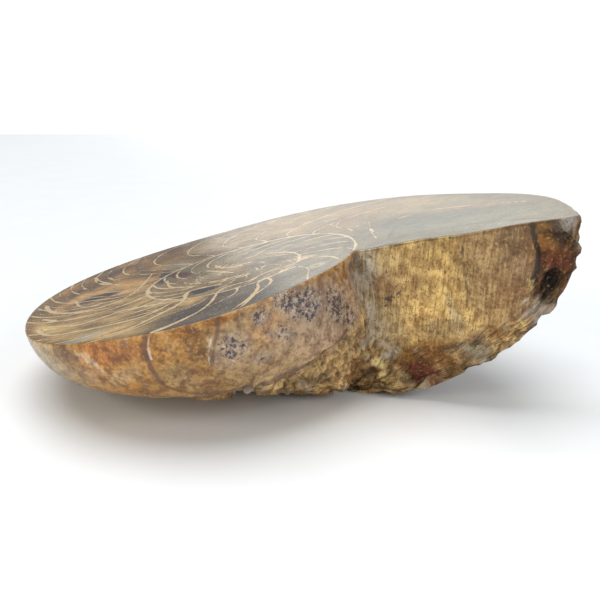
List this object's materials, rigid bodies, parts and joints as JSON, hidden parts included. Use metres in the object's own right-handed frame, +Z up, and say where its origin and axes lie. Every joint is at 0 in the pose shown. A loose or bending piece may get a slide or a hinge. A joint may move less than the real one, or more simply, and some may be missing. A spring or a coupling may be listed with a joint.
{
  "type": "ammonite fossil",
  "caption": "Half of a sawn ammonite lying on its rounded flank, with a flat polished face showing the coiled whorls and a rough sawn end",
  "frame": {"origin": "middle of the footprint box, on the ground the stone lies on", "axes": "+Z up as the stone lies; +X along its length, from the low thin end to the high end with the saw cut; -Y is the side with the saw cut"},
  "size_m": [0.1334, 0.1098, 0.0489],
  "materials": {
    "fossil_stone": "flat face and outer wall polished, saw cut matt, lower flank and right end rough broken stone"
  },
  "bodies": {
    "root": {"ammonite_half": "fossil_stone"}
  },
  "joints": []
}
